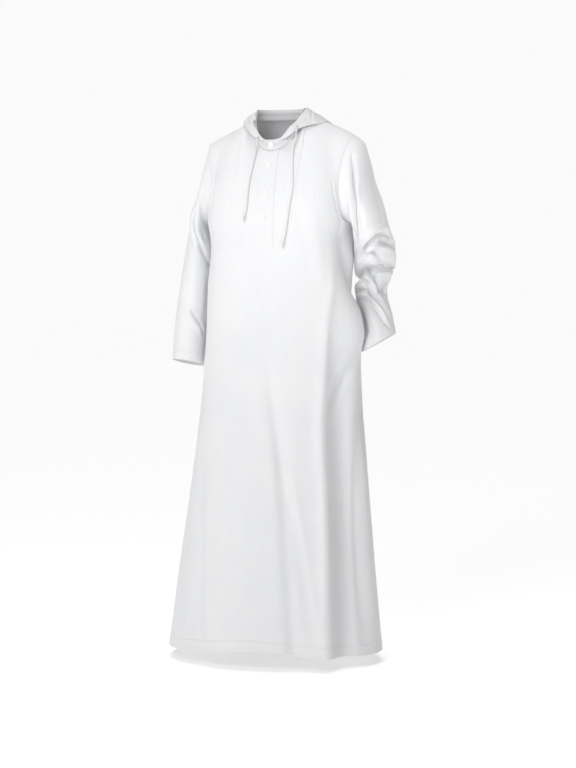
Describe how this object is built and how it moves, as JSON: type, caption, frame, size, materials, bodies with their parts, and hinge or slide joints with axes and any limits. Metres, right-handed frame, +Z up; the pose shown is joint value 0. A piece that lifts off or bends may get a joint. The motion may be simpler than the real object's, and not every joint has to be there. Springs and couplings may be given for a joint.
{
  "type": "thobe robe",
  "caption": "Long straight white thobe robe with a neckband, a folded-down drawstring hood, a buttoned half placket, long sleeves and a side pocket, worn and empty.",
  "frame": {"origin": "midway between the two points where the shoulder seams meet the neck, where the wearer's neck holds the robe up", "axes": "+Z up along the wearer, the wearer faces -Y, and +X is the wearer's left hand side"},
  "size_m": [0.63, 0.4237, 1.4737],
  "materials": {
    "cotton": "fine plain weave, slight sheen",
    "cord": "round woven cord",
    "button": "pearly"
  },
  "bodies": {
    "root": {"front": "cotton", "back": "cotton", "sleeve_right": "cotton", "sleeve_left": "cotton", "neckband": "cotton", "placket": "cotton", "hood_right": "cotton", "hood_left": "cotton", "pocket_left": "cotton", "button_1": "button", "button_2": "button", "button_3": "button", "button_4": "button", "drawstring_right": "cord", "drawstring_left": "cord", "knot_right": "cord", "knot_left": "cord"}
  },
  "joints": []
}
